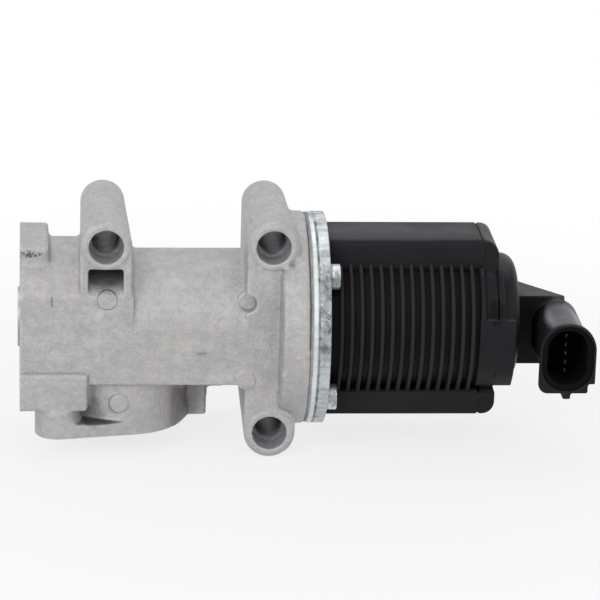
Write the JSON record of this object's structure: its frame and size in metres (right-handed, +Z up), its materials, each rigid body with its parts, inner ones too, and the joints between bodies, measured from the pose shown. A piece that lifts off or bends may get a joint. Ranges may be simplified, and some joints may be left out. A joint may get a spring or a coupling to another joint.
{
  "type": "exhaust gas recirculation valve",
  "caption": "Die-cast valve body with a sprung poppet valve, long bolt-through ears, bright plated discs and a ribbed electric motor drive with a side-facing plug socket.",
  "frame": {"origin": "centre of the end port on the casting's end face", "axes": "+X along the valve stem from the end port towards the motor, -Y the front that the plug socket and the mouths of the ears face, +Z up, away from the outlet neck"},
  "size_m": [0.1904, 0.0712, 0.0814],
  "materials": {
    "cast_aluminium": "die cast, satin",
    "stainless_steel": "machined",
    "zinc_plated_steel": "bright zinc plating",
    "spring_steel": "drawn wire",
    "bearing_steel": "ground",
    "soft_steel": "pressed",
    "bronze": "sintered",
    "copper": "turned",
    "enamelled_copper": "enamelled",
    "tinned_brass": "tin plated",
    "ferrite": "sintered",
    "graphite": "pressed",
    "black_plastic": "moulded, fine grain",
    "brown_plastic": "moulded",
    "seal_rubber": "smooth",
    "gasket_sheet": "coated fibre sheet",
    "board_laminate": "coated glass-fibre laminate"
  },
  "bodies": {
    "base": {"valve_housing": "cast_aluminium", "valve_seat_ring": "stainless_steel", "stem_guide_bush": "bronze", "stem_seal": "seal_rubber", "gas_deflector": "stainless_steel", "return_spring": "spring_steel", "flange_gasket": "gasket_sheet", "adapter_plate": "zinc_plated_steel", "motor_flange": "zinc_plated_steel", "flange_screws": "zinc_plated_steel", "housing_screws": "zinc_plated_steel", "motor_housing": "black_plastic", "housing_seal": "seal_rubber", "cap_seal": "seal_rubber", "rear_cap": "black_plastic", "connector_terminals": "tinned_brass", "motor_can": "soft_steel", "field_magnets": "ferrite", "spindle_guide": "brown_plastic", "front_bearing_outer": "bearing_steel", "front_bearing_balls": "bearing_steel", "rear_bearing_outer": "bearing_steel", "rear_bearing_balls": "bearing_steel", "rear_bearing_plate": "soft_steel", "brush_holder": "brown_plastic", "carbon_brushes": "graphite", "brush_springs": "spring_steel", "motor_leads": "enamelled_copper", "sensor_board": "board_laminate"},
    "rotor": {"rotor_shaft": "stainless_steel", "rotor_core": "soft_steel", "rotor_windings": "enamelled_copper", "commutator": "copper", "position_magnet": "ferrite", "front_bearing_inner": "bearing_steel", "rear_bearing_inner": "bearing_steel"},
    "spindle": {"drive_spindle": "stainless_steel"},
    "valve": {"valve_stem": "stainless_steel", "spring_retainer": "soft_steel", "retainer_collets": "soft_steel"}
  },
  "joints": [
    {"name": "rotor_spin", "type": "hinge", "parent": "base", "child": "rotor", "pos_m": [0.12, 0, 0], "axis": [1, 0, 0], "range_deg": [0, 270]},
    {"name": "spindle_slide", "type": "slide", "parent": "base", "child": "spindle", "axis": [-1, 0, 0], "range_m": [0, 0.006]},
    {"name": "valve_lift", "type": "slide", "parent": "base", "child": "valve", "axis": [-1, 0, 0], "range_m": [0, 0.006], "stiffness_N_per_m": 100, "springref_m": -0.008, "deforming": ["return_spring"]}
  ],
  "couplings": [
    {"joint": "spindle_slide", "follows": "rotor_spin", "m_per_rad": 0.001273},
    {"joint": "valve_lift", "follows": "rotor_spin", "m_per_rad": 0.001273}
  ]
}
